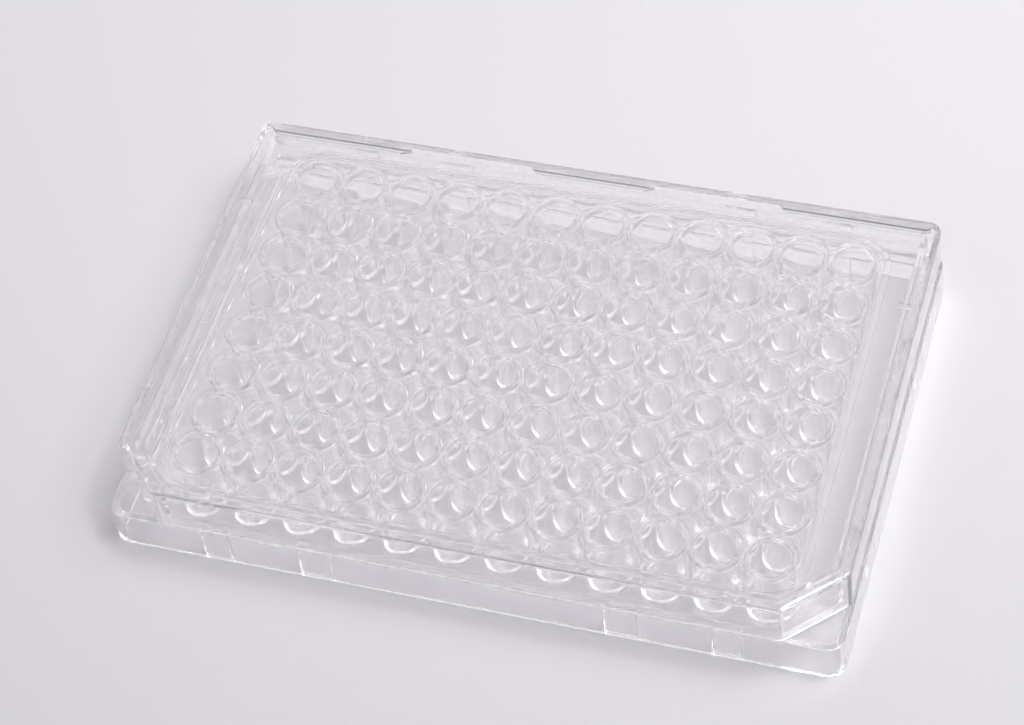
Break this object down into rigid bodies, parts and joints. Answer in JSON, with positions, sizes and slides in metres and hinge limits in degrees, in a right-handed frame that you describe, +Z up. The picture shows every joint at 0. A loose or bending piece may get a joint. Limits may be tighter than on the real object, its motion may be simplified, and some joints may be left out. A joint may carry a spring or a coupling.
{
  "type": "microplate with lid",
  "caption": "Clear lidded microplate: a shallow tray of flat-bottomed round wells in a grid, on a tall flange with two cut corners, under a loose cover.",
  "frame": {"origin": "middle of the footprint, on the surface that the plate stands on", "axes": "+X along the columns' count, column 1 at -X; +Y towards row A; the two cut corners are at -Y; +Z up"},
  "size_m": [0.1278, 0.0854, 0.0164],
  "materials": {
    "plate": "gloss",
    "lid": "gloss"
  },
  "bodies": {
    "root": {"plate": "plate", "lid": "lid"}
  },
  "joints": []
}
